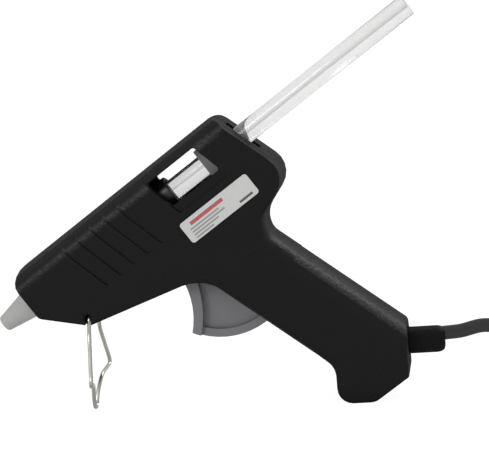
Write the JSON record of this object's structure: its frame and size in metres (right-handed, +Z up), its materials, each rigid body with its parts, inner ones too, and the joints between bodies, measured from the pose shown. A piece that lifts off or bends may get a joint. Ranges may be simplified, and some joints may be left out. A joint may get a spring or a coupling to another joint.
{
  "type": "mini hot glue applicator",
  "caption": "Pistol-shaped craft tool with a raked grip, slanted flank windows over the loaded stick, a pull trigger, a folding wire stand and a tied flat cord.",
  "frame": {"origin": "on the bench, below the middle of the tool's length and width, the free cord and its plug left out", "axes": "+X from the nozzle towards the cord's exit, +Y away from the label side, +Z up"},
  "size_m": [0.358, 0.0369, 0.1284],
  "materials": {
    "shell": "fine satin moulding, near black",
    "trigger": "satin moulding, mid grey",
    "silicone": "matt silicone, light grey",
    "rubber": "satin, black",
    "cord": "glossy flat twin cord, black",
    "steel": "bright nickel plate",
    "aluminium": "as cast",
    "brass": "turned",
    "ceramic": "matt, fired",
    "film": "amber insulating film",
    "glue": "cloudy, translucent, waxy",
    "label": "pale satin, bare",
    "lead": "heat-proof sleeved lead"
  },
  "bodies": {
    "housing": {"left_shell": "shell", "right_shell": "shell", "housing_screw_1": "steel", "housing_screw_2": "steel", "housing_screw_3": "steel", "housing_screw_4": "steel", "label_plate": "label", "nozzle_cover": "silicone", "nozzle": "brass", "melt_chamber": "aluminium", "inlet_sleeve": "rubber", "sleeve_clamp": "steel", "heater_wrap": "film", "upper_contact_plate": "brass", "heating_element": "ceramic", "lower_contact_plate": "brass", "live_crimp": "brass", "live_lead": "lead", "neutral_crimp": "brass", "neutral_lead": "lead", "trigger_pin": "steel", "return_spring": "steel", "cord_clamp": "trigger", "clamp_screw_1": "steel", "clamp_screw_2": "steel", "strain_relief": "rubber", "cord_lead": "cord", "cord_hank": "cord", "cord_tail": "cord", "cord_tie": "rubber", "plug_body": "rubber", "plug_pin_1": "steel", "plug_pin_2": "steel"},
    "trigger": {"trigger": "trigger"},
    "feed": {"feed_collar": "trigger", "glue_stick": "glue"},
    "stand": {"wire_stand": "steel"}
  },
  "joints": [
    {"name": "feed_slide", "type": "slide", "parent": "housing", "child": "feed", "axis": [-0.8281, 0, -0.5606], "range_m": [0, 0.0082], "stiffness_N_per_m": 12, "springref_m": -0.012},
    {"name": "trigger_pull", "type": "hinge", "parent": "housing", "child": "trigger", "pos_m": [0.00177, 0, 0.04791], "axis": [0, -1, 0], "range_deg": [0, 20], "deforming": ["return_spring"]},
    {"name": "stand_fold", "type": "hinge", "parent": "housing", "child": "stand", "pos_m": [-0.04117, 0, 0.03321], "axis": [0, -1, 0], "range_deg": [0, 80]}
  ],
  "couplings": [
    {"joint": "trigger_pull", "follows": "feed_slide", "rad_per_m": 42.553}
  ]
}
